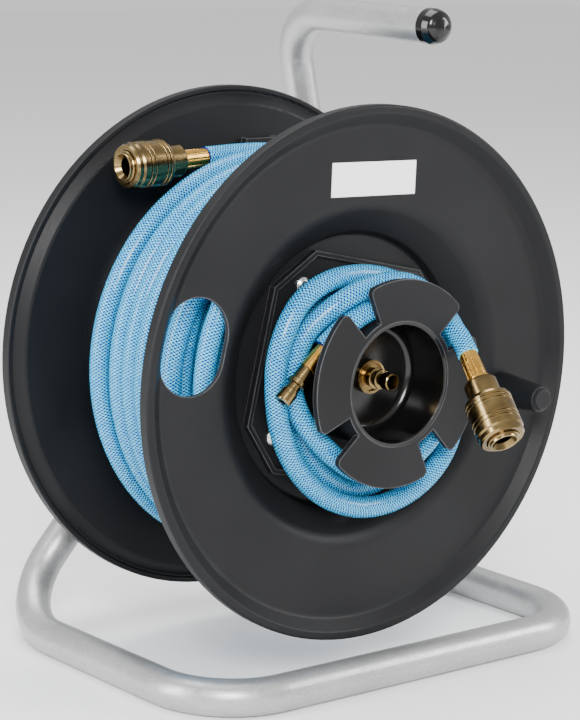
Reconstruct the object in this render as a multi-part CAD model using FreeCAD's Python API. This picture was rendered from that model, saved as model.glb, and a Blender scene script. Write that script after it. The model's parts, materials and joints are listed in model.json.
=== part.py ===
"""Portable reel for a compressed-air hose, millimetres, +Z up.

A drum with two dished flanges turns on a fixed axle, which a bent tube frame carries.
Shapes are drawn about the drum's axis: X to the right, Y from the front flange's rim
towards the back, Z up, and all are moved by ORIGIN on export, so that the row's origin
is on the floor under the middle of the reel.
"""
import FreeCAD, Part
import math
import os

V = FreeCAD.Vector

# ---------------------------------------------------------------- driving dimensions
FLANGE_R = 145.0          # outer radius of both flanges
RIM_DEPTH = 7.0           # depth of a flange's rolled rim
FACE_Y = 6.5              # flat face of the front flange, behind its rim
WALL = 2.5                # wall of the flange mouldings
DISH_Y = 24.0             # floor of the dish in the middle of a flange
DISH_R = 75.0             # radius of that floor
DISH_MOUTH_R = 92.0       # radius at which the web begins to slope down to it
DRUM_DEPTH = 139.0        # over both rims
CORE_R = 80.0             # outer radius of the core that the hose is wound on
COIL_R = 102.0            # over two full layers of wound hose
CROWN_R = 112.0           # over the third layer, which fills the middle only
HOSE_R = 5.75             # 6 mm bore compressed-air hose
TUBE_R = 10.0             # frame tube
TUBE_WALL = 2.0
BASE_Z = -159.0           # axis of the base tubes
BACK_Y = 176.0            # plane of the post and the riser
AXLE_R = 8.0
HUB_ANGLE = -12.5         # the holder's turn about the axle, degrees
HOLDER_Y = -24.0          # front face of the hose holder
CUP_R = 31.5
PETAL_R = 56.0
PLATE_HALF = 60.5         # half width of the holder's octagonal base
PLATE_CHAMFER = 23.0
SCREW_R = 58.4            # pitch radius of the four tie bolts
CRANK_R = 102.8           # radius at which the crank knob stands
CRANK_ANGLE = -10.6
GAP = 0.3                 # between parts that move past each other
COIL_FRONT = FACE_Y + WALL + 0.4
COIL_BACK = DRUM_DEPTH - COIL_FRONT
INNER_START = -125.0      # direction of the inlet elbow's barb, degrees
PIN_R = 4.6               # tip of the plug and of the nipple
MOUTH_R = 5.0             # bore of the couplers
NECK = 17.5               # length of a coupler's fluted neck
PLUG_NECK = 14.0
# where the bodies of the two couplers and of the plug begin, and the way each one points
DRUM_COUPLER_AT = V(-50.3, 108, 107.5)
DRUM_COUPLER_AIM = V(-0.998, -0.031, -0.043)
LEADER_COUPLER_AT = V(35.8, -46.4, 1.5)
LEADER_COUPLER_AIM = V(-0.137, -0.694, -0.708)
PLUG_AT = V(-53.6, -12.5, 12.0)
PLUG_AIM = V(-16, 0.6, -16)

ORIGIN = V(-10.5, -78.5, -BASE_Z + TUBE_R)

os.makedirs("parts", exist_ok=True)


# ---------------------------------------------------------------- helpers
def save(name, *shapes):
    """Write one node; several shapes stay separate solids."""
    shape = shapes[0] if len(shapes) == 1 else Part.makeCompound(list(shapes))
    shape = shape.copy()
    shape.translate(ORIGIN)
    shape.exportStep(f"parts/{name}.step")


def polar(r, degrees, y=0.0):
    a = math.radians(degrees)
    return V(r * math.cos(a), y, r * math.sin(a))


def rounded(points, radii, closed=False):
    """Wire of straight runs through the points, with an arc of the given radius at each."""
    n = len(points)
    if not isinstance(radii, (list, tuple)):
        radii = [radii] * n
    edges = []
    first = last = None
    for i in range(n):
        p = points[i]
        inner = closed or 0 < i < n - 1
        if inner and radii[i] > 0:
            a = (points[i - 1] - p).normalize()
            b = (points[(i + 1) % n] - p).normalize()
            half = a.getAngle(b) / 2
            t = radii[i] / math.tan(half)
            axis = (a + b).normalize()
            mid = p + axis * (radii[i] / math.sin(half) - radii[i])
            start, end = p + a * t, p + b * t
            arc = Part.Arc(start, mid, end).toShape()
        else:
            start = end = p
            arc = None
        if last is not None and (start - last).Length > 1e-6:
            edges.append(Part.makeLine(last, start))
        if first is None:
            first = start
        if arc is not None:
            edges.append(arc)
        last = end
    if closed and (first - last).Length > 1e-6:
        edges.append(Part.makeLine(last, first))
    return Part.Wire(edges)


def revolved(profile, radii=0.0):
    """Turn a closed outline of (radius, y) points about the drum's axis."""
    points = [V(r, y, 0) for r, y in profile]
    face = Part.Face(rounded(points, radii, closed=True))
    return face.revolve(V(0, 0, 0), V(0, 1, 0), 360)


def rod(r, y0, y1, at=V(0, 0, 0)):
    return Part.makeCylinder(r, y1 - y0, V(at.x, y0, at.z), V(0, 1, 0))


def ring(r_in, r_out, y0, y1, at=V(0, 0, 0)):
    return rod(r_out, y0, y1, at).cut(rod(r_in, y0 - 1, y1 + 1, at))


def prism(outline, y0, y1):
    """Extrude a closed outline of (x, z) points from y0 to y1."""
    wire = Part.makePolygon([V(x, y0, z) for x, z in outline + outline[:1]])
    return Part.Face(wire).extrude(V(0, y1 - y0, 0))


def hexagon(across_flats, y0, y1, at=V(0, 0, 0)):
    r = across_flats / math.sqrt(3)
    corners = [polar(r, 60 * k) + at for k in range(6)]
    return prism([(c.x, c.z) for c in corners], y0, y1)


def pipe(points, r, bend):
    """Round bar along straight runs joined by arcs."""
    spine = rounded(points, bend)
    start = (points[1] - points[0]).normalize()
    circle = Part.Wire(Part.makeCircle(r, points[0], start))
    return spine.makePipeShell([circle], True, True)


def hose(name, points):
    """One loose stretch of hose.  Each arc takes 0.45 of the shorter run beside it."""
    radii = [0.0]
    for before, corner, after in zip(points, points[1:], points[2:]):
        half_turn = (corner - before).getAngle(after - corner) / 2
        shorter = min((corner - before).Length, (after - corner).Length)
        radii.append(0.45 * shorter / math.tan(half_turn))
    radii.append(0.0)
    print(name, "bend radii", [round(r, 1) for r in radii[1:-1]])
    save(name, pipe(points, HOSE_R, radii))


def turned(shape, degrees):
    out = shape.copy()
    out.rotate(V(0, 0, 0), V(0, 1, 0), -degrees)
    return out


def aimed(shape, at, direction):
    """Stand a shape drawn along +Y on a point, along a direction."""
    out = shape.copy()
    out.Placement = FreeCAD.Placement(at, FreeCAD.Rotation(V(0, 1, 0), direction))
    return out


def mirrored(shape):
    """The same moulding, facing the other way, at the drum's other end."""
    return shape.mirror(V(0, DRUM_DEPTH / 2, 0), V(0, 1, 0))


# ---------------------------------------------------------------- frame
def frame():
    handle_front = V(76.8, 50, 181.7)
    handle_back = V(76.8, BACK_Y, 184.2)
    right_back = V(153.0, BACK_Y, BASE_Z)
    right_front = V(157.0, -16, BASE_Z)
    left_front = V(-112.8, -16, BASE_Z)
    left_back = V(-118.8, BACK_Y, BASE_Z)
    riser_aim = V(21, BACK_Y, 0)
    handle_bend, base_bend = 32.0, 45.0

    riser_dir = (riser_aim - left_back).normalize()
    post_dir = (right_back - handle_back).normalize()
    riser_end = left_back + riser_dir * 335
    left_middle = (left_front + left_back) * 0.5
    loop = [handle_front, handle_back, right_back, right_front, left_front, left_middle]
    bends = [0, handle_bend, base_bend, base_bend, base_bend, 0]
    post = Part.makeCylinder(TUBE_R, 300, handle_back + post_dir * 40, post_dir)

    def hollow(points, radii):
        return pipe(points, TUBE_R, radii).cut(pipe(points, TUBE_R - TUBE_WALL, radii))

    riser = hollow([left_middle, left_back, riser_end], base_bend).cut(post)
    riser = max(riser.Solids, key=lambda s: s.Volume)
    save("frame_tube", hollow(loop, bends).fuse(riser).removeSplitter())

    # push-in cap with a domed end on the handle's open end
    aim = (handle_front - handle_back).normalize()
    cap = revolved([(0, -7), (7.9, -7), (7.9, 0), (10.2, 0), (10.2, 5), (8.8, 9.6), (5, 12.2), (0, 13)],
                   [0, 0, 0, 0.4, 2, 4, 5, 0])
    save("handle_end_cap", aimed(cap, handle_front, aim))

    # pressed plate that is welded to the riser and holds the axle
    plate_y0, plate_y1 = 161.0, 167.0
    corners = [V(-24, plate_y0, -30), V(42, plate_y0, -30), V(42, plate_y0, 30), V(-24, plate_y0, 30)]
    plate = Part.Face(rounded(corners, 8, closed=True)).extrude(V(0, plate_y1 - plate_y0, 0))
    riser_bar = Part.makeCylinder(TUBE_R, 335, left_back, riser_dir)
    plate = plate.cut(riser_bar).cut(rod(AXLE_R, plate_y0 - 1, plate_y1 + 1))
    save("axle_bracket", plate)

    axle = revolved([(0, 54), (7, 54), (8, 55), (8, 57.2), (7.3, 57.2), (7.3, 58.6), (8, 58.6),
                     (8, plate_y1), (0, plate_y1)])
    save("axle", axle)
    clip = ring(7.3, 9.6, 57.3, 58.5).cut(Part.makeBox(5, 3, 12, V(-2.5, 56.5, 4)))
    save("axle_clip", clip)
    save("axle_washer", ring(8.05, 12.5, 58.7, 60.2))
    save("axle_spacer", ring(8.05, 12, 120.8, plate_y0))


# ---------------------------------------------------------------- drum
def flange():
    """Front flange: rolled rim, flat web, dish and the spigot that enters the core."""
    back = FACE_Y + WALL
    outline = [(20, DISH_Y), (DISH_R - 1, DISH_Y), (DISH_R + 1, 19.5), (DISH_MOUTH_R, FACE_Y), (133.5, FACE_Y),
               (140.5, 0), (FLANGE_R, 0), (FLANGE_R, RIM_DEPTH), (142.3, RIM_DEPTH), (141.6, 4.2), (134.8, back),
               (DISH_MOUTH_R + 1.6, back), (77.4, 22.2), (77.4, 34), (74.9, 34), (74.9, DISH_Y + 3), (20, DISH_Y + 3)]
    radii = [0, 1.5, 2.5, 14, 4, 1.5, 1.5, 0.8, 0.8, 1, 3, 14, 0, 0, 0, 0, 0]
    body = revolved(outline, radii)
    for k in range(4):
        body = body.cut(rod(2.7, DISH_Y - 1, DISH_Y + 4, polar(SCREW_R, 45 + 90 * k + HUB_ANGLE)))
    return body


def finger_hole(degrees):
    """Long hole in the web, 41 mm by 51 mm, through which the hose is seen."""
    centre, end_r, shift = 115.0, 20.4, 5.2
    hole = None
    for side in (-1, 1):
        piece = Part.makeCylinder(end_r, 12, V(centre, 0, side * shift), V(0, 1, 0))
        hole = piece if hole is None else hole.fuse(piece)
    hole = hole.fuse(Part.makeBox(2 * end_r, 12, 2 * shift, V(centre - end_r, 0, -shift)))
    return turned(hole, degrees)


def drum():
    pin_at = polar(CRANK_R, CRANK_ANGLE)
    back = FACE_Y + WALL
    front = flange().cut(finger_hole(167.0))
    sink = Part.makeCone(4.1, 7.2, WALL, V(pin_at.x, FACE_Y, pin_at.z), V(0, 1, 0))
    save("front_flange", front.cut(sink))

    # the rear flange has the long bearing boss
    boss = revolved([(9.5, 74), (11, 74), (11, 62), (15, 62), (16, 108), (22, 112.2), (22, 114.8),
                     (15, 119), (11, 119), (11, 107), (9.5, 107)])
    # and a moulded eye for the strap that holds the hose's end
    eye = Part.makeBox(24, 5.5, 11, V(8.6, 125.5, 104)).cut(Part.makeBox(17, 2.2, 11, V(12.1, 127.8, 104)))
    rear = mirrored(flange()).cut(mirrored(finger_hole(-13.0))).fuse(eye).fuse(boss)
    save("rear_flange", rear)
    bush = revolved([(8.05, 60.5), (13, 60.5), (13, 62), (11, 62), (11, 74), (8.05, 74)])
    far = bush.mirror(V(0, 90.5, 0), V(0, 1, 0))
    save("axle_bushes", bush, far)

    # core tube, with the long slot through which the hose leaves it
    core = ring(77.5, CORE_R, 22.5, DRUM_DEPTH - 22.5)
    slot = Part.makeBox(20, 14, 72, V(68, 33, -36))
    save("drum_core", core.cut(turned(slot, 20)))

    # pin on which the crank knob turns, riveted from behind
    pin = revolved([(0, -27.4), (3, -27.4), (4, -26.6), (4, FACE_Y), (7, back), (0, back)])
    pin.translate(V(pin_at.x, 0, pin_at.z))
    save("crank_pin", pin)
    cap = revolved([(0, -29), (5.6, -29), (5.6, -27.5), (0, -27.5)], [0, 0.7, 0, 0])
    cap.translate(V(pin_at.x, 0, pin_at.z))
    save("crank_pin_cap", cap)
    knob = revolved([(4.1, -27.2), (7.2, -27.2), (8.6, -10), (9.7, 2), (9.7, 6.1), (4.1, 6.1)],
                    [0, 1.2, 30, 6, 1, 0])
    knob.translate(V(pin_at.x, 0, pin_at.z))
    save("crank_knob", knob)

    label = Part.makeBox(57.4, 0.6, 18.1, V(-28.7, FACE_Y - 0.6, -9.05))
    label.rotate(V(0, 0, 0), V(0, 1, 0), 1.2)
    label.translate(V(3.4, 0, 105.4))
    save("label_plate", label)


# ---------------------------------------------------------------- hose holder and inlet
def octagon(half, chamfer):
    c = half - chamfer
    return [(half, -c), (half, c), (c, half), (-c, half), (-half, c), (-half, -c), (-c, -half), (c, -half)]


def petal(k):
    """One of four wings that keep the leader hose on the barrel."""
    half_span = math.radians(35.5)
    y1 = HOLDER_Y + 3.5
    inner = 33.5
    a0, a1 = -half_span, half_span

    def at(r, a):
        return V(r * math.cos(a), HOLDER_Y, r * math.sin(a))

    edges = [Part.makeLine(at(inner, a0), at(PETAL_R, a0)),
             Part.Arc(at(PETAL_R, a0), at(PETAL_R, 0), at(PETAL_R, a1)).toShape(),
             Part.makeLine(at(PETAL_R, a1), at(inner, a1)),
             Part.Arc(at(inner, a1), at(inner, 0), at(inner, a0)).toShape()]
    wing = Part.Face(Part.Wire(edges)).extrude(V(0, y1 - HOLDER_Y, 0))
    tips = [e for e in wing.Edges
            if e.Vertexes[0].Point.distanceToPoint(e.Vertexes[-1].Point) < 4
            and math.hypot(e.CenterOfMass.x, e.CenterOfMass.z) > PETAL_R - 1 and e.Length < 4]
    wing = wing.makeFillet(3.5, tips)
    return turned(wing, 90 * k)


def holder():
    lip, floor = 19.5, 21.5
    base = prism(octagon(PLATE_HALF, PLATE_CHAMFER), lip, DISH_Y)
    base = base.cut(prism(octagon(PLATE_HALF - 2.6, PLATE_CHAMFER - 1.1), lip - 1, floor))
    barrel = ring(33.5, 36.5, HOLDER_Y, DISH_Y)
    ledge = ring(28, 34, 6.2, 9)
    body = base.fuse([barrel, ledge] + [petal(k) for k in range(4)])
    body = body.cut(rod(20, 18, 30))
    for k in range(4):
        body = body.cut(rod(2.7, floor - 1, DISH_Y + 1, polar(SCREW_R, 45 + 90 * k)))
    save("hose_holder", turned(body, HUB_ANGLE))

    cup = revolved([(6.6, 3), (29.5, 3), (CUP_R, HOLDER_Y + 0.4), (33.4, HOLDER_Y + 0.4), (33.4, 6.1), (6.6, 6.1)],
                   [0, 5, 0.6, 0, 2, 0])
    save("holder_cup", cup)

    bolts, nuts = [], []
    for k in range(4):
        at = polar(SCREW_R, 45 + 90 * k + HUB_ANGLE)
        head = revolved([(0, 18.6), (2.6, 18.9), (4.3, 20.4), (4.3, floor), (0, floor)], [0, 1.5, 0.6, 0, 0])
        cross = Part.makeBox(4.6, 1.4, 0.9, V(-2.3, 18.2, -0.45))
        cross = cross.fuse(Part.makeBox(0.9, 1.4, 4.6, V(-0.45, 18.2, -2.3)))
        head = head.cut(cross)
        bolt = head.fuse(rod(2.45, floor - 0.2, 121))
        bolt.translate(V(at.x, 0, at.z))
        bolts.append(bolt)
        nut = hexagon(8, 115.1, 119.1).cut(rod(2.5, 114, 121))
        nut.translate(V(at.x, 0, at.z))
        nuts.append(nut)
    save("tie_bolts", *bolts)
    save("tie_nuts", *nuts)

    # inlet: plug nipple in the cup, its seal and nut, and an elbow with a barb inside the core
    nipple = revolved([(3.9, -18), (4.2, -18), (PIN_R, -17.6), (PIN_R, -12.2), (3.6, -11.6), (3.6, -10), (5.2, -9.4),
                       (5.2, -8), (4, -7.4), (4, -6.2), (5.8, -5.6), (5.8, -4.4), (5.2, -3.8), (5.2, 0.8),
                       (8, 0.8), (8, -0.9), (9.1, -0.9), (9.1, 2), (6.5, 2), (6.5, 22), (2.8, 22), (2.8, -14.5)])
    save("inlet_nipple", nipple)
    save("inlet_seal", ring(6.55, 8.8, 2, 3))
    save("inlet_nut", hexagon(17, 6.2, 11).cut(rod(6.55, 5, 12)))
    elbow = rod(8.5, 11.3, 47).cut(rod(6.55, 11, 22.1)).cut(rod(3, 20, 42))
    barb_len = 24.0
    barb = rod(3.9, 0, barb_len)
    for k in range(3):
        barb = barb.fuse(Part.makeCone(4.6, 3.7, 4, V(0, 10 + 4.2 * k, 0), V(0, 1, 0)))
    hole = rod(2.4, -9, barb_len + 1)
    barb_dir = polar(1, INNER_START)
    elbow = elbow.fuse(aimed(barb, V(0, 40, 0), barb_dir)).cut(aimed(hole, V(0, 40, 0), barb_dir))
    save("inlet_elbow", elbow)


# ---------------------------------------------------------------- wound hose
def winding():
    inner = CORE_R + GAP
    slope_r, slope_y = 17.5, 13.5
    coil = revolved([(inner, COIL_FRONT + slope_y), (inner + slope_r, COIL_FRONT), (COIL_R, COIL_FRONT),
                     (COIL_R, 28), (CROWN_R, 32), (CROWN_R, 98), (COIL_R, 101), (COIL_R, COIL_BACK),
                     (inner + slope_r, COIL_BACK), (inner, COIL_BACK - slope_y)],
                    [0, 0, 3, 3, 4, 4, 2, 3, 0, 0])
    save("hose_winding", coil)

    # from the barb round the inside of the core, outside the tie bolts, and out through the slot
    hose("drum_hose_inner", [polar(11.5, INNER_START, 40), polar(31, INNER_START, 40), polar(48, -113, 40),
                             polar(62, -96, 40), polar(70, -72, 40), polar(71, -44, 40), polar(71, -16, 40),
                             polar(75, 10, 40), polar(84, 34, 40)])
    clamp = ring(HOSE_R, HOSE_R + 1.2, 0, 7)
    screw = Part.makeBox(6, 5, 4, V(-3, 1, HOSE_R + 0.6)).cut(rod(HOSE_R, 0, 7))
    save("inner_clamp", aimed(clamp.fuse(screw), polar(15, INNER_START, 40), polar(1, INNER_START)))

    # loose end, off the top of the third layer to the coupler
    way = V(DRUM_COUPLER_AIM).normalize()
    hose("drum_hose_tail", [polar(105.5, 8, 92), polar(109.5, 27, 99), polar(111.5, 47, 103.5), V(38, 105, 105.5),
                            V(9, 107.3, 109.2), DRUM_COUPLER_AT - way * 36, DRUM_COUPLER_AT - way * NECK])


# ---------------------------------------------------------------- couplers
def coupler(prefix, at, direction):
    """Quick coupler along a direction: fluted neck first, mouth last.  Its sleeve slides back."""
    neck = revolved([(3, -NECK), (4.9, -NECK), (5.4, -1.8), (6.4, -1.3), (6.4, 0), (3, 0)])
    for k in range(10):
        neck = neck.cut(rod(1.0, 0.8 - NECK, -2.4, polar(5.6, 36 * k)))
    body = revolved([(3, 0), (6.8, 0), (8.6, 0.8), (9, 1.6), (9, 37.2), (8.7, 37.6), (7.9, 37.6), (7.7, 38.6),
                     (6.9, 38.6), (MOUTH_R, 35.8), (MOUTH_R, 23), (6.4, 23), (6.4, 20), (4.5, 20), (4.5, 4), (3, 4)])
    sleeve = revolved([(9.3, 10.8), (10.6, 10.8), (12.4, 12), (12.9, 13.4), (12.9, 14.4), (12.3, 14.7), (12.3, 15.3),
                       (12.9, 15.6), (12.9, 16.8), (12.3, 17.1), (12.3, 17.7), (12.9, 18), (12.9, 24.8), (12.3, 25.1),
                       (12.3, 25.7), (12.9, 26), (12.9, 27.4), (12.3, 27.7), (12.3, 28.3), (12.9, 28.6), (12.9, 31.8),
                       (12.2, 32.8), (12.2, 35.2), (11.4, 36.4), (9.3, 36.4)])
    seal = ring(PIN_R, 6.3, 20.3, 22.7)
    valve = revolved([(0, 12), (1.6, 12), (1.6, 16.6), (4.2, 17.4), (4.2, 19.6), (0, 19.6)])
    spring = ring(3.5, 4.2, 5, 16)
    for name, shape in (("neck", neck), ("body", body), ("sleeve", sleeve), ("seal", seal),
                        ("valve", valve), ("valve_spring", spring)):
        save(f"{prefix}_{name}", aimed(shape, at, direction))


# ---------------------------------------------------------------- leader hose on the holder
def leader():
    plug_dir = V(PLUG_AIM).normalize()
    neck = revolved([(2.4, -PLUG_NECK), (3.7, -PLUG_NECK), (4.4, 0), (2.4, 0)])
    plug = revolved([(2.4, 0), (3.9, 0), (4.1, 0.6), (4.1, 8.2), (5, 8.6), (5, 10.4), (3.5, 11.2), (3.5, 13.6),
                     (4.1, 14.2), (4.1, 15.2), (PIN_R, 15.6), (PIN_R, 21.4), (4.2, 22.2), (2.4, 22.2)])
    save("leader_plug_neck", aimed(neck, PLUG_AT, plug_dir))
    save("leader_plug", aimed(plug, PLUG_AT, plug_dir))

    # the turns round the barrel: a ring behind the wings, and loose turns that hang lower
    loose = Part.makeCylinder(75.0, 11.2, V(-2, -5, -5), V(0, 1, 0))
    deeper = Part.makeCylinder(64.0, 7.5, V(2, 6, -6), V(0, 1, 0))
    coil = loose.fuse([deeper, rod(58.0, 13, 17.9), rod(48.0, -20.2, -4)]).cut(rod(36.8, -21, 19))
    channel = aimed(rod(5.2, -PLUG_NECK, 6), PLUG_AT, plug_dir)
    save("leader_coil", coil.cut(channel))

    hose("leader_lead_plug", [PLUG_AT - plug_dir * PLUG_NECK, PLUG_AT - plug_dir * 24, polar(44, 122, -13.8),
                              polar(43.4, 100, -14)])

    # over the top, out between two wings and down to the coupler
    out_dir = V(LEADER_COUPLER_AIM).normalize()
    hose("leader_lead_coupler", [polar(57, 140, -3), polar(54.5, 118, -10.8), polar(54.3, 94, -12.6),
                                 polar(53, 71, -13.4), V(33, -13.2, 38.8), V(39.9, -18.5, 28.6),
                                 LEADER_COUPLER_AT - out_dir * (NECK + 9), LEADER_COUPLER_AT - out_dir * NECK])


frame()
drum()
holder()
winding()
coupler("drum_coupler", DRUM_COUPLER_AT, DRUM_COUPLER_AIM)
coupler("leader_coupler", LEADER_COUPLER_AT, LEADER_COUPLER_AIM)
leader()
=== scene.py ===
"""Looks of a portable reel for a compressed-air hose, in metres, in the CAD model's frame.

The CAD nodes keep their shapes and get procedural materials.  The two hoses, which are
plain solids in CAD, are drawn here as real hoses with their whole length.
"""
import json
import math

import bpy
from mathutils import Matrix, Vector


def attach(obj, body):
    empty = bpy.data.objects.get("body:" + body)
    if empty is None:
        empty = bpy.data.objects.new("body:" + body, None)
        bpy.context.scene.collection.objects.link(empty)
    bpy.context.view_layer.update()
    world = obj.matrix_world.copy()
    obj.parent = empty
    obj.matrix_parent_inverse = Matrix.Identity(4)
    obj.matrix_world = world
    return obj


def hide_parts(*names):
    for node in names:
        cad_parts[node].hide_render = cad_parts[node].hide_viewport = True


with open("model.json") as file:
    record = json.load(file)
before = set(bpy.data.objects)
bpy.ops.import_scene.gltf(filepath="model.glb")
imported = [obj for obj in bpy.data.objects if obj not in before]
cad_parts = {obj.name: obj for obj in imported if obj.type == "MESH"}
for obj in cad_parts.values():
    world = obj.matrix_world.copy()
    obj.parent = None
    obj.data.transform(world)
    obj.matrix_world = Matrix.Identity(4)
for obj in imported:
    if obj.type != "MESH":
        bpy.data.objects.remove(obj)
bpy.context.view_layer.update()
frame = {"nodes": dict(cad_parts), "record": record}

MM = 0.001
AXLE = Vector((-10.5, -78.5, 169.0)) * MM      # where the drum's axis meets the front rim's plane
HOSE_D = 11.5 * MM

nodes = frame["nodes"]


def at(x, y, z):
    """A point given in millimetres from the drum's axis at the front rim."""
    return Vector((x, y, z)) * MM + AXLE


def polar(r, degrees, y):
    a = math.radians(degrees)
    return at(r * math.cos(a), y, r * math.sin(a))


# ---------------------------------------------------------------- camera
CAMERA_TARGET = at(-55.28, 0.0, 14.74)
CAMERA_DISTANCE = 1.22962
CAMERA_AZIMUTH = -38.33        # degrees, turned to the drum's left
CAMERA_ELEVATION = 11.16
CAMERA_ROLL = 1.37
CAMERA_LENS = 118.5            # on a 36 mm sensor's long side


def make_camera():
    azimuth, elevation, roll = (math.radians(a) for a in (CAMERA_AZIMUTH, CAMERA_ELEVATION, CAMERA_ROLL))
    back = Vector((math.sin(azimuth) * math.cos(elevation), -math.cos(azimuth) * math.cos(elevation),
                   math.sin(elevation)))
    right = Vector((math.cos(azimuth), math.sin(azimuth), 0))
    up = back.cross(right)
    rolled_right = right * math.cos(roll) + up * math.sin(roll)
    rolled_up = up * math.cos(roll) - right * math.sin(roll)
    data = bpy.data.cameras.new("camera")
    data.lens = CAMERA_LENS
    data.sensor_width = 36.0
    data.clip_start = 0.05
    data.clip_end = 20.0
    camera = bpy.data.objects.new("camera", data)
    bpy.context.scene.collection.objects.link(camera)
    place = camera.matrix_world.copy()
    for row in range(3):
        place[row][0] = rolled_right[row]
        place[row][1] = rolled_up[row]
        place[row][2] = back[row]
        place[row][3] = (CAMERA_TARGET + back * CAMERA_DISTANCE)[row]
    camera.matrix_world = place
    bpy.context.scene.camera = camera


# ---------------------------------------------------------------- hoses
def nurbs_line(name, points):
    """A smooth line that has the points as its control points."""
    curve = bpy.data.curves.new(name, "CURVE")
    curve.dimensions = "3D"
    curve.resolution_u = 5
    spline = curve.splines.new("NURBS")
    spline.points.add(len(points) - 1)
    for control, point in zip(spline.points, points):
        control.co = (*point, 1.0)
    spline.order_u = 3
    spline.use_endpoint_u = True
    line = bpy.data.objects.new(name, curve)
    bpy.context.scene.collection.objects.link(line)
    read = bpy.data.meshes.new_from_object(line)
    path = [v.co.copy() for v in read.vertices]
    bpy.data.objects.remove(line)
    bpy.data.meshes.remove(read)
    return path


def spaced(path, step):
    """The same line with a point at least every step."""
    out = [path[0]]
    for a, b in zip(path, path[1:]):
        parts = max(1, math.ceil((b - a).length / step))
        out += [a.lerp(b, k / parts) for k in range(1, parts + 1)]
    return out


def hose_mesh(name, path, sides):
    """A tube along the path, with how far along and around it each corner is, for the braid."""
    radius = HOSE_D / 2
    verts, faces, uv = [], [], []
    tangent = (path[1] - path[0]).normalized()
    side = tangent.orthogonal().normalized()
    along = [0.0]
    for i, p in enumerate(path):
        ahead = path[min(i + 1, len(path) - 1)]
        behind = path[max(i - 1, 0)]
        new_tangent = (ahead - behind).normalized()
        side = tangent.rotation_difference(new_tangent) @ side
        side = (side - new_tangent * side.dot(new_tangent)).normalized()
        tangent = new_tangent
        other = tangent.cross(side)
        for k in range(sides):
            a = 2 * math.pi * k / sides
            verts.append(p + side * (radius * math.cos(a)) + other * (radius * math.sin(a)))
        if i:
            along.append(along[-1] + (p - behind).length)
    for i in range(len(path) - 1):
        for k in range(sides):
            n = (k + 1) % sides
            faces.append((i * sides + k, i * sides + n, (i + 1) * sides + n, (i + 1) * sides + k))
            uv += [(k, along[i]), (k + 1, along[i]), (k + 1, along[i + 1]), (k, along[i + 1])]
    last = (len(path) - 1) * sides
    faces.append(tuple(range(sides - 1, -1, -1)))
    faces.append(tuple(range(last, last + sides)))
    uv += [(0, 0)] * sides + [(0, along[-1])] * sides
    mesh = bpy.data.meshes.new(name)
    mesh.from_pydata(verts, [], faces)
    layer = mesh.uv_layers.new(name="braid")
    circumference = 2 * math.pi * radius
    for loop, (k, s) in zip(layer.data, uv):
        loop.uv = (k / sides, s / circumference)
    mesh.shade_smooth()
    piece = bpy.data.objects.new(name, mesh)
    bpy.context.scene.collection.objects.link(piece)
    return piece


# where the two couplers and the plug begin, and the way each one points
DRUM_COUPLER = (at(-50.3, 108, 107.5), Vector((-0.998, -0.031, -0.043)).normalized())
LEADER_COUPLER = (at(35.8, -46.4, 1.5), Vector((-0.137, -0.694, -0.708)).normalized())
LEADER_PLUG = (at(-53.6, -12.5, 12.0), Vector((-16, 0.6, -16)).normalized())


def along_coupler(fitting, *millimetres):
    """Points on a fitting's own axis, that far behind where it begins."""
    begin, direction = fitting
    return [begin - direction * (d * MM) for d in millimetres]


# radii of the hose's line in the layers of the winding, in millimetres
FIRST_LAYER = 86.05
SECOND_LAYER = 96.25
THIRD_LAYER = 106.45
POINTS_PER_TURN = 16

# angle in degrees, radius and depth in millimetres, from the inner end of the winding to its outer end
WINDING = [
    (52, FIRST_LAYER, 40), (2392, FIRST_LAYER, 116), (2450, SECOND_LAYER, 117), (4997, SECOND_LAYER, 34.3),
    (5087, FIRST_LAYER, 28.6), (5447, FIRST_LAYER, 22.9), (5507, SECOND_LAYER, 16.9), (5867, SECOND_LAYER, 28.5),
    (5927, THIRD_LAYER, 34.3), (7518, THIRD_LAYER, 86), (7740, 108.5, 97.5), (7947, 109.5, 99)]


def between(keys, angle):
    """Radius and depth at an angle.  The radius eases from one key (angle, radius, y) to the next."""
    for (a0, r0, y0), (a1, r1, y1) in zip(keys, keys[1:]):
        if a0 <= angle <= a1:
            t = (angle - a0) / (a1 - a0)
            return r0 + (r1 - r0) * t * t * (3 - 2 * t), y0 + (y1 - y0) * t
    return keys[-1][1], keys[-1][2]


def turns(keys, per_turn):
    """Control points of turns round the drum's axis.  They stand a little outside the line they make."""
    first, last = keys[0][0], keys[-1][0]
    count = round((last - first) / 360 * per_turn)
    swell = 1 / math.cos(math.pi / per_turn)
    points = []
    for k in range(count + 1):
        angle = first + (last - first) * k / count
        r, y = between(keys, angle)
        points.append(polar(r * swell, angle, y))
    return points


def drum_hose_route():
    """From the elbow out through the core, round the drum, and along the coupler's axis."""
    inner = [polar(11.5, -125, 40), polar(31, -125, 40), polar(48, -113, 40), polar(62, -96, 40), polar(70, -72, 40),
             polar(71, -44, 40), polar(71, -16, 40), polar(75, 10, 40), polar(84, 34, 40)]
    tail = [polar(111.5, 47, 103.5), at(38, 105, 105.5), at(9, 107.3, 109.2)]
    return inner + turns(WINDING, POINTS_PER_TURN) + tail + along_coupler(DRUM_COUPLER, 36, 17.5)


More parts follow.
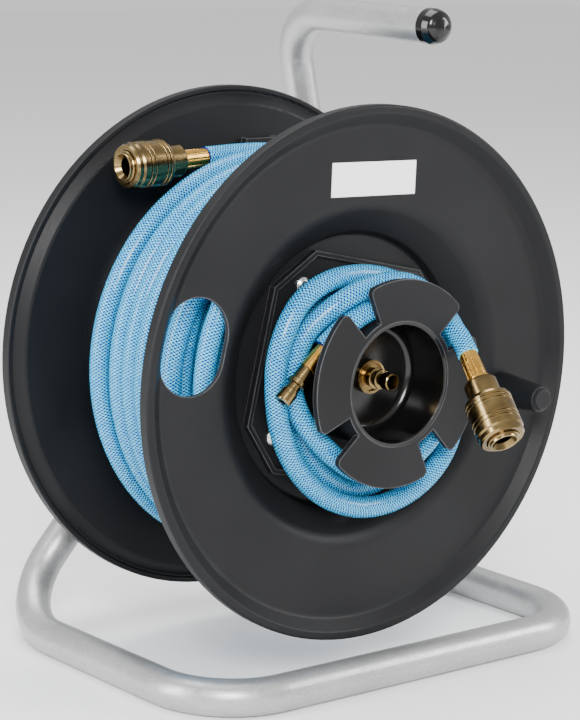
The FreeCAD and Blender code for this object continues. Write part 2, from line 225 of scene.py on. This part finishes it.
# the leader hose round its holder, given like the winding
LEADER_LOOPS = [
    (138, 45.8, -13.8), (118, 42.5, -14.3), (95, 42.3, -13.5), (70, 42.3, -11), (45, 42.4, -7), (20, 42.8, -2.5),
    (-5, 44.5, 2), (-30, 49, 5), (-55, 57, 7), (-75, 63, 7.5), (-92, 64, 7.5), (-108, 61, 7.5), (-125, 56, 7.5),
    (-143, 51, 8), (-160, 48.5, 9), (-180, 47.5, 10), (-200, 47.8, 11), (-220, 49.3, 12), (-240, 51.5, 12),
    (-260, 52.8, 12), (-280, 53.5, 12), (-305, 55, 11.5), (-330, 57.5, 10), (-355, 62, 6), (-380, 69, 1.5),
    (-402, 74.5, -1), (-425, 75, -1.5), (-450, 73.5, -1.5), (-475, 70.5, -1.5), (-498, 68, -1.5), (-520, 67, -2),
    (-540, 66.5, -2), (-555, 68, -2), (-570, 68.5, -2), (-583, 68, -1.5), (-597, 64, -0.5), (-612, 59, 0.5),
    (-630, 55, 1.5), (-650, 53, 1.5), (-675, 53.5, 0), (-700, 54.5, -3), (-725, 54, -6), (-750, 52.5, -8.5),
    (-773, 51.5, -9.5), (-800, 53, -9.8), (-825, 52, -10.2), (-850, 50, -10), (-866, 50.5, -8), (-881, 53.5, -5),
    (-898, 56, -2), (-914, 56, -2), (-930, 56, -3), (-942, 54.5, -6), (-952, 54, -9), (-962, 53.7, -11),
    (-976, 53.3, -12), (-992, 53.3, -12.6), (-1010, 53.3, -13.6)]


def leader_route():
    """From the plug round the holder, and out between two wings to the coupler."""
    begin = along_coupler(LEADER_PLUG, 14)
    loops = [polar(r, degrees, y) for degrees, r, y in LEADER_LOOPS]
    end = [at(33, -13.2, 38.8), at(39.6, -17.5, 29.2), at(38.9, -22.25, 24.8), at(39.4, -28, 20.3)]
    return begin + loops + end + along_coupler(LEADER_COUPLER, 17.5)


def make_hoses(material):
    path = nurbs_line("drum_hose_line", drum_hose_route())
    drum_hose = hose_mesh("drum_hose", spaced(path, 6 * MM), sides=18)
    drum_hose.data.materials.append(material)
    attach(drum_hose, "drum")
    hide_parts("hose_winding", "drum_hose_inner", "drum_hose_tail")

    path = nurbs_line("leader_hose_line", leader_route())
    leader = hose_mesh("leader_hose", spaced(path, 3 * MM), sides=28)
    leader.data.materials.append(material)
    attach(leader, "drum")
    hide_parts("leader_coil", "leader_lead_plug", "leader_lead_coupler")


# ---------------------------------------------------------------- materials
class Shader:
    """A Principled material and short ways to add nodes to it."""

    def __init__(self, name, color, roughness, metallic=0.0, **extra):
        self.material = bpy.data.materials.new(name)
        self.material.use_nodes = True
        self.tree = self.material.node_tree
        self.principled = self.tree.nodes["Principled BSDF"]
        self.set("Base Color", (*color, 1.0))
        self.set("Roughness", roughness)
        self.set("Metallic", metallic)
        for key, value in extra.items():
            self.set(key.replace("_", " "), value)

    def set(self, socket, value):
        self.principled.inputs[socket].default_value = value

    def feed(self, socket, output):
        self.tree.links.new(output, self.principled.inputs[socket])

    def node(self, kind, inputs=(), **settings):
        node = self.tree.nodes.new(kind)
        for key, value in settings.items():
            setattr(node, key, value)
        for key, value in dict(inputs).items():
            if isinstance(value, bpy.types.NodeSocket):
                self.tree.links.new(value, node.inputs[key])
            else:
                node.inputs[key].default_value = value
        return node

    def where(self):
        return self.node("ShaderNodeTexCoord").outputs["Object"]

    def noise(self, scale, detail=3.0, roughness=0.55, vector=None):
        inputs = {"Scale": scale, "Detail": detail, "Roughness": roughness, "Vector": vector or self.where()}
        return self.node("ShaderNodeTexNoise", inputs).outputs["Fac"]

    def math(self, operation, a, b=0.5, c=0.5, clamp=False):
        node = self.tree.nodes.new("ShaderNodeMath")
        node.operation = operation
        node.use_clamp = clamp
        for socket, value in zip(node.inputs, (a, b, c)):
            if isinstance(value, bpy.types.NodeSocket):
                self.tree.links.new(value, socket)
            else:
                socket.default_value = value
        return node.outputs[0]

    def ramp(self, value, low, high, out_low=0.0, out_high=1.0):
        inputs = {"Value": value, "From Min": low, "From Max": high, "To Min": out_low, "To Max": out_high}
        return self.node("ShaderNodeMapRange", inputs).outputs["Result"]

    def mix(self, factor, a, b):
        node = self.tree.nodes.new("ShaderNodeMix")
        node.data_type = "RGBA"
        for socket, value in ((node.inputs[0], factor), (node.inputs[6], a), (node.inputs[7], b)):
            if isinstance(value, bpy.types.NodeSocket):
                self.tree.links.new(value, socket)
            elif isinstance(value, tuple):
                socket.default_value = (*value, 1.0)
            else:
                socket.default_value = value
        return node.outputs[2]

    def bump(self, height, distance, strength=1.0, normal=None):
        inputs = {"Height": height, "Distance": distance, "Strength": strength}
        if normal is not None:
            inputs["Normal"] = normal
        out = self.node("ShaderNodeBump", inputs).outputs["Normal"]
        self.feed("Normal", out)
        return out

    def edges(self, width):
        """1 where the surface turns sharply, for wear on brass and for painted highlights on plastic."""
        soft = self.node("ShaderNodeBevel", {"Radius": width}, samples=6).outputs["Normal"]
        true = self.node("ShaderNodeNewGeometry").outputs["Normal"]
        dot = self.node("ShaderNodeVectorMath", {0: soft, 1: true}, operation="DOT_PRODUCT").outputs["Value"]
        return self.ramp(dot, 0.98, 0.75)


def grained_plastic():
    s = Shader("grained_plastic", (0.009, 0.009, 0.01), 0.45, Specular_IOR_Level=0.16)
    grain = s.noise(1500, 4.0, 0.65)
    cloud = s.noise(14, 3.0)
    tint = s.mix(s.ramp(cloud, 0.3, 0.7), (0.006, 0.0062, 0.007), (0.010, 0.0102, 0.011))
    # painted highlight: sharp edges of the charcoal plastic are lightened to grey in patches, standing in for light
    # caught by the rims and lips
    painted_edge_highlight = s.math("MULTIPLY", s.edges(0.0014), s.ramp(s.noise(90), 0.3, 0.6, 0.4, 1.0))
    s.feed("Base Color", s.mix(s.math("MULTIPLY", painted_edge_highlight, 0.8), tint, (0.13, 0.13, 0.135)))
    s.feed("Roughness", s.ramp(s.math("ADD", grain, s.math("MULTIPLY", cloud, 0.4)), 0.5, 0.9, 0.36, 0.52))
    s.bump(grain, 0.00012, 0.6)
    return s.material


def gloss_plastic():
    s = Shader("gloss_black", (0.003, 0.003, 0.003), 0.16, Specular_IOR_Level=0.4)
    s.feed("Roughness", s.ramp(s.noise(60, 5.0), 0.3, 0.75, 0.1, 0.26))
    s.bump(s.noise(500, 3.0), 0.00003, 0.4)
    return s.material


def silver_paint():
    s = Shader("silver_paint", (0.42, 0.42, 0.42), 0.36, metallic=0.75)
    speck = s.noise(2600, 2.0)
    cloud = s.noise(22, 4.0)
    tint = s.mix(s.ramp(cloud, 0.3, 0.7), (0.34, 0.34, 0.34), (0.42, 0.42, 0.42))
    s.feed("Base Color", s.mix(s.ramp(speck, 0.5, 0.66, 0.0, 0.5), tint, (0.78, 0.78, 0.78)))
    s.feed("Roughness", s.ramp(s.noise(180, 4.0), 0.3, 0.7, 0.32, 0.45))
    s.bump(s.noise(700, 3.0), 0.00006, 0.45)
    return s.material


def brass(name, light, dark, roughness):
    s = Shader(name, light, roughness, metallic=1.0)
    tarnish = s.noise(60, 3.0, 0.5)
    worn = s.edges(0.0006)
    tint = s.mix(s.ramp(tarnish, 0.35, 0.68), light, dark)
    s.feed("Base Color", s.mix(s.math("MULTIPLY", worn, 0.6), tint, (0.80, 0.62, 0.32)))
    s.feed("Roughness", s.ramp(s.noise(260, 3.0), 0.3, 0.7, roughness - 0.04, roughness + 0.06))
    s.bump(s.noise(1800, 2.0), 0.00002, 0.5)
    return s.material


def zinc():
    s = Shader("zinc", (0.62, 0.63, 0.64), 0.28, metallic=1.0)
    s.feed("Base Color", s.mix(s.ramp(s.noise(240, 4.0), 0.3, 0.7), (0.50, 0.51, 0.52), (0.72, 0.73, 0.73)))
    s.feed("Roughness", s.ramp(s.noise(900, 3.0), 0.3, 0.7, 0.2, 0.38))
    return s.material


def rubber():
    s = Shader("black_rubber", (0.02, 0.02, 0.02), 0.6)
    s.feed("Roughness", s.ramp(s.noise(300, 3.0), 0.3, 0.7, 0.5, 0.7))
    s.bump(s.noise(1200, 2.0), 0.00004, 0.5)
    return s.material


def nylon():
    s = Shader("nylon", (0.82, 0.80, 0.74), 0.4, Subsurface_Weight=0.1)
    s.feed("Roughness", s.ramp(s.noise(400, 3.0), 0.3, 0.7, 0.32, 0.5))
    s.bump(s.noise(900, 2.0), 0.00003, 0.4)
    return s.material


def label_film():
    s = Shader("label_film", (0.95, 0.95, 0.95), 0.25, Coat_Weight=0.4)
    s.feed("Base Color", s.mix(s.ramp(s.noise(30, 4.0), 0.3, 0.7), (0.93, 0.93, 0.93), (0.97, 0.97, 0.97)))
    s.feed("Roughness", s.ramp(s.noise(250, 3.0), 0.3, 0.7, 0.2, 0.34))
    return s.material


BRAID_STARTS = 12              # threads that wind each way round the hose
BRAID_SLOPE = 1.7              # how far round a thread goes while it goes as far along


def braided_hose():
    """Clear skin over a blue tube, with white threads that cross over and under each other."""
    s = Shader("braided_hose", (0.0, 0.22, 0.6), 0.26, IOR=1.45, Specular_IOR_Level=0.25, Coat_Weight=0.2,
               Coat_Roughness=0.08)
    split = s.node("ShaderNodeSeparateXYZ", {0: s.node("ShaderNodeUVMap", uv_map="braid").outputs["UV"]})
    around, along = split.outputs[0], split.outputs[1]

    def thread(sign):
        """The thread's number at a point, and how much of a thread is there, from 0 to 1."""
        turn = s.math("MULTIPLY", s.math("MULTIPLY_ADD", along, sign * BRAID_SLOPE, around), BRAID_STARTS)
        off_centre = s.math("ABSOLUTE", s.math("SUBTRACT", s.math("FRACT", turn), 0.5))
        return s.math("FLOOR", turn), s.ramp(off_centre, 0.26, 0.16)

    left_number, left = thread(1)
    right_number, right = thread(-1)
    crossing = s.math("FLOORED_MODULO", s.math("ADD", left_number, right_number), 2.0)
    on_top = s.math("ADD", s.math("MULTIPLY", left, s.math("SUBTRACT", 1.0, crossing)),
                    s.math("MULTIPLY", right, crossing), clamp=True)
    beneath = s.math("MAXIMUM", left, right)
    cloud = s.ramp(s.noise(60, 3.0), 0.3, 0.7)
    skin = s.mix(cloud, (0.0, 0.075, 0.38), (0.0, 0.105, 0.46))
    woven = s.mix(beneath, (0.0, 0.012, 0.12), skin)
    yarn = s.mix(s.ramp(s.noise(900, 2.0), 0.3, 0.7), (0.0, 0.30, 0.60), (0.14, 0.76, 0.86))
    s.feed("Base Color", s.mix(on_top, woven, yarn))
    s.feed("Roughness", s.ramp(on_top, 0.0, 1.0, 0.2, 0.36))
    s.bump(s.math("ADD", s.math("MULTIPLY", beneath, 0.5), s.math("MULTIPLY", on_top, 0.5)), 0.00025, 0.6)
    return s.material


def paint_nodes():
    """Give each CAD node the material of its slot, and return the materials by slot."""
    gold = brass("bright_brass", (0.72, 0.40, 0.08), (0.50, 0.27, 0.05), 0.24)
    aged = brass("aged_brass", (0.26, 0.18, 0.075), (0.12, 0.083, 0.036), 0.2)
    by_slot = {"frame_silver": silver_paint(), "cap_black": gloss_plastic(), "steel": zinc(), "bush_white": nylon(),
               "drum_charcoal": grained_plastic(), "label_white": label_film(), "brass": aged, "brass_gold": gold,
               "seal_black": rubber(), "hose_blue": braided_hose()}
    slots = {part["node"]: part["material_slot"] for part in frame["record"]["subparts"]}
    for name, piece in nodes.items():
        piece.data.materials.clear()
        piece.data.materials.append(by_slot[slots[name]])
    return by_slot


# ---------------------------------------------------------------- stage
REEL_MIDDLE = Vector((0.0, 0.0, 0.17))


def make_stage():
    mesh = bpy.data.meshes.new("floor")
    half_side = 6.0
    corners = [(x * half_side, y * half_side, 0) for x, y in ((-1, -1), (1, -1), (1, 1), (-1, 1))]
    mesh.from_pydata(corners, [], [(0, 1, 2, 3)])
    floor = bpy.data.objects.new("floor", mesh)
    bpy.context.scene.collection.objects.link(floor)
    shade = Shader("floor", (0.93, 0.93, 0.93), 0.8)
    floor.data.materials.append(shade.material)

    world = bpy.data.worlds.new("world")
    bpy.context.scene.world = world
    world.use_nodes = True
    background = world.node_tree.nodes["Background"]
    background.inputs["Color"].default_value = (1.0, 1.0, 1.0, 1.0)
    background.inputs["Strength"].default_value = 0.85


def area_light(name, place, size, power):
    """A soft light that points at the middle of the reel and isn't seen itself."""
    data = bpy.data.lights.new(name, "AREA")
    data.shape = "RECTANGLE"
    data.size, data.size_y = size
    data.energy = power
    light = bpy.data.objects.new(name, data)
    light.location = place
    light.visible_camera = False
    light.rotation_euler = (REEL_MIDDLE - Vector(place)).to_track_quat("-Z", "Y").to_euler()
    bpy.context.scene.collection.objects.link(light)


def make_lights():
    area_light("key", (-1.3, -1.8, 1.3), (0.8, 0.8), 84)
    area_light("left", (-1.9, 0.3, 0.7), (0.5, 1.4), 40)
    area_light("right", (1.7, -1.2, 1.0), (0.5, 1.2), 34)
    area_light("top", (0.0, 0.3, 1.9), (1.4, 1.0), 30)


make_camera()
materials = paint_nodes()
make_hoses(materials["hose_blue"])
make_stage()
make_lights()
